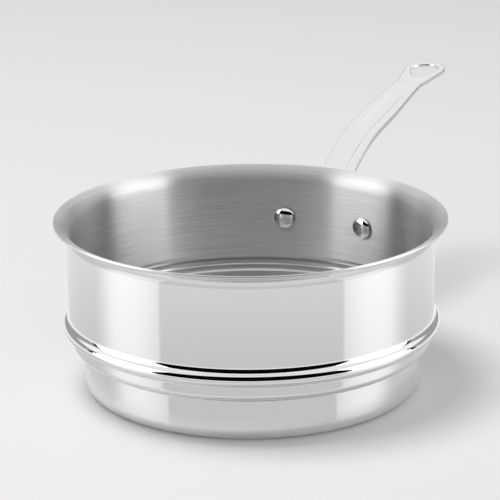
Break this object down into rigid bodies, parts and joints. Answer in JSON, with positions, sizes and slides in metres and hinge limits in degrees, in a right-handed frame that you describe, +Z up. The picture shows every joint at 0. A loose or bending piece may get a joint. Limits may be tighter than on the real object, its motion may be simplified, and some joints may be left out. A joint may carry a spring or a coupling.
{
  "type": "steamer insert",
  "caption": "Round steel steamer basket with a stepped wall, a rolled bead that sits on a saucepan's rim, a flared lip, a perforated floor and a long riveted handle with a hanging loop.",
  "frame": {"origin": "centre of the flat base, on its underside", "axes": "+Z up along the basket's axis, +Y along the handle, +X to the right of a person who looks along the handle"},
  "size_m": [0.2314, 0.3977, 0.1353],
  "materials": {
    "polished_sheet": "mirror polished outside, fine circumferential brushing inside",
    "cast_handle": "cast and satin polished",
    "rivet_steel": "polished domes"
  },
  "bodies": {
    "root": {"steamer_basket": "polished_sheet", "handle": "cast_handle", "rivet_left": "rivet_steel", "rivet_right": "rivet_steel"}
  },
  "joints": []
}
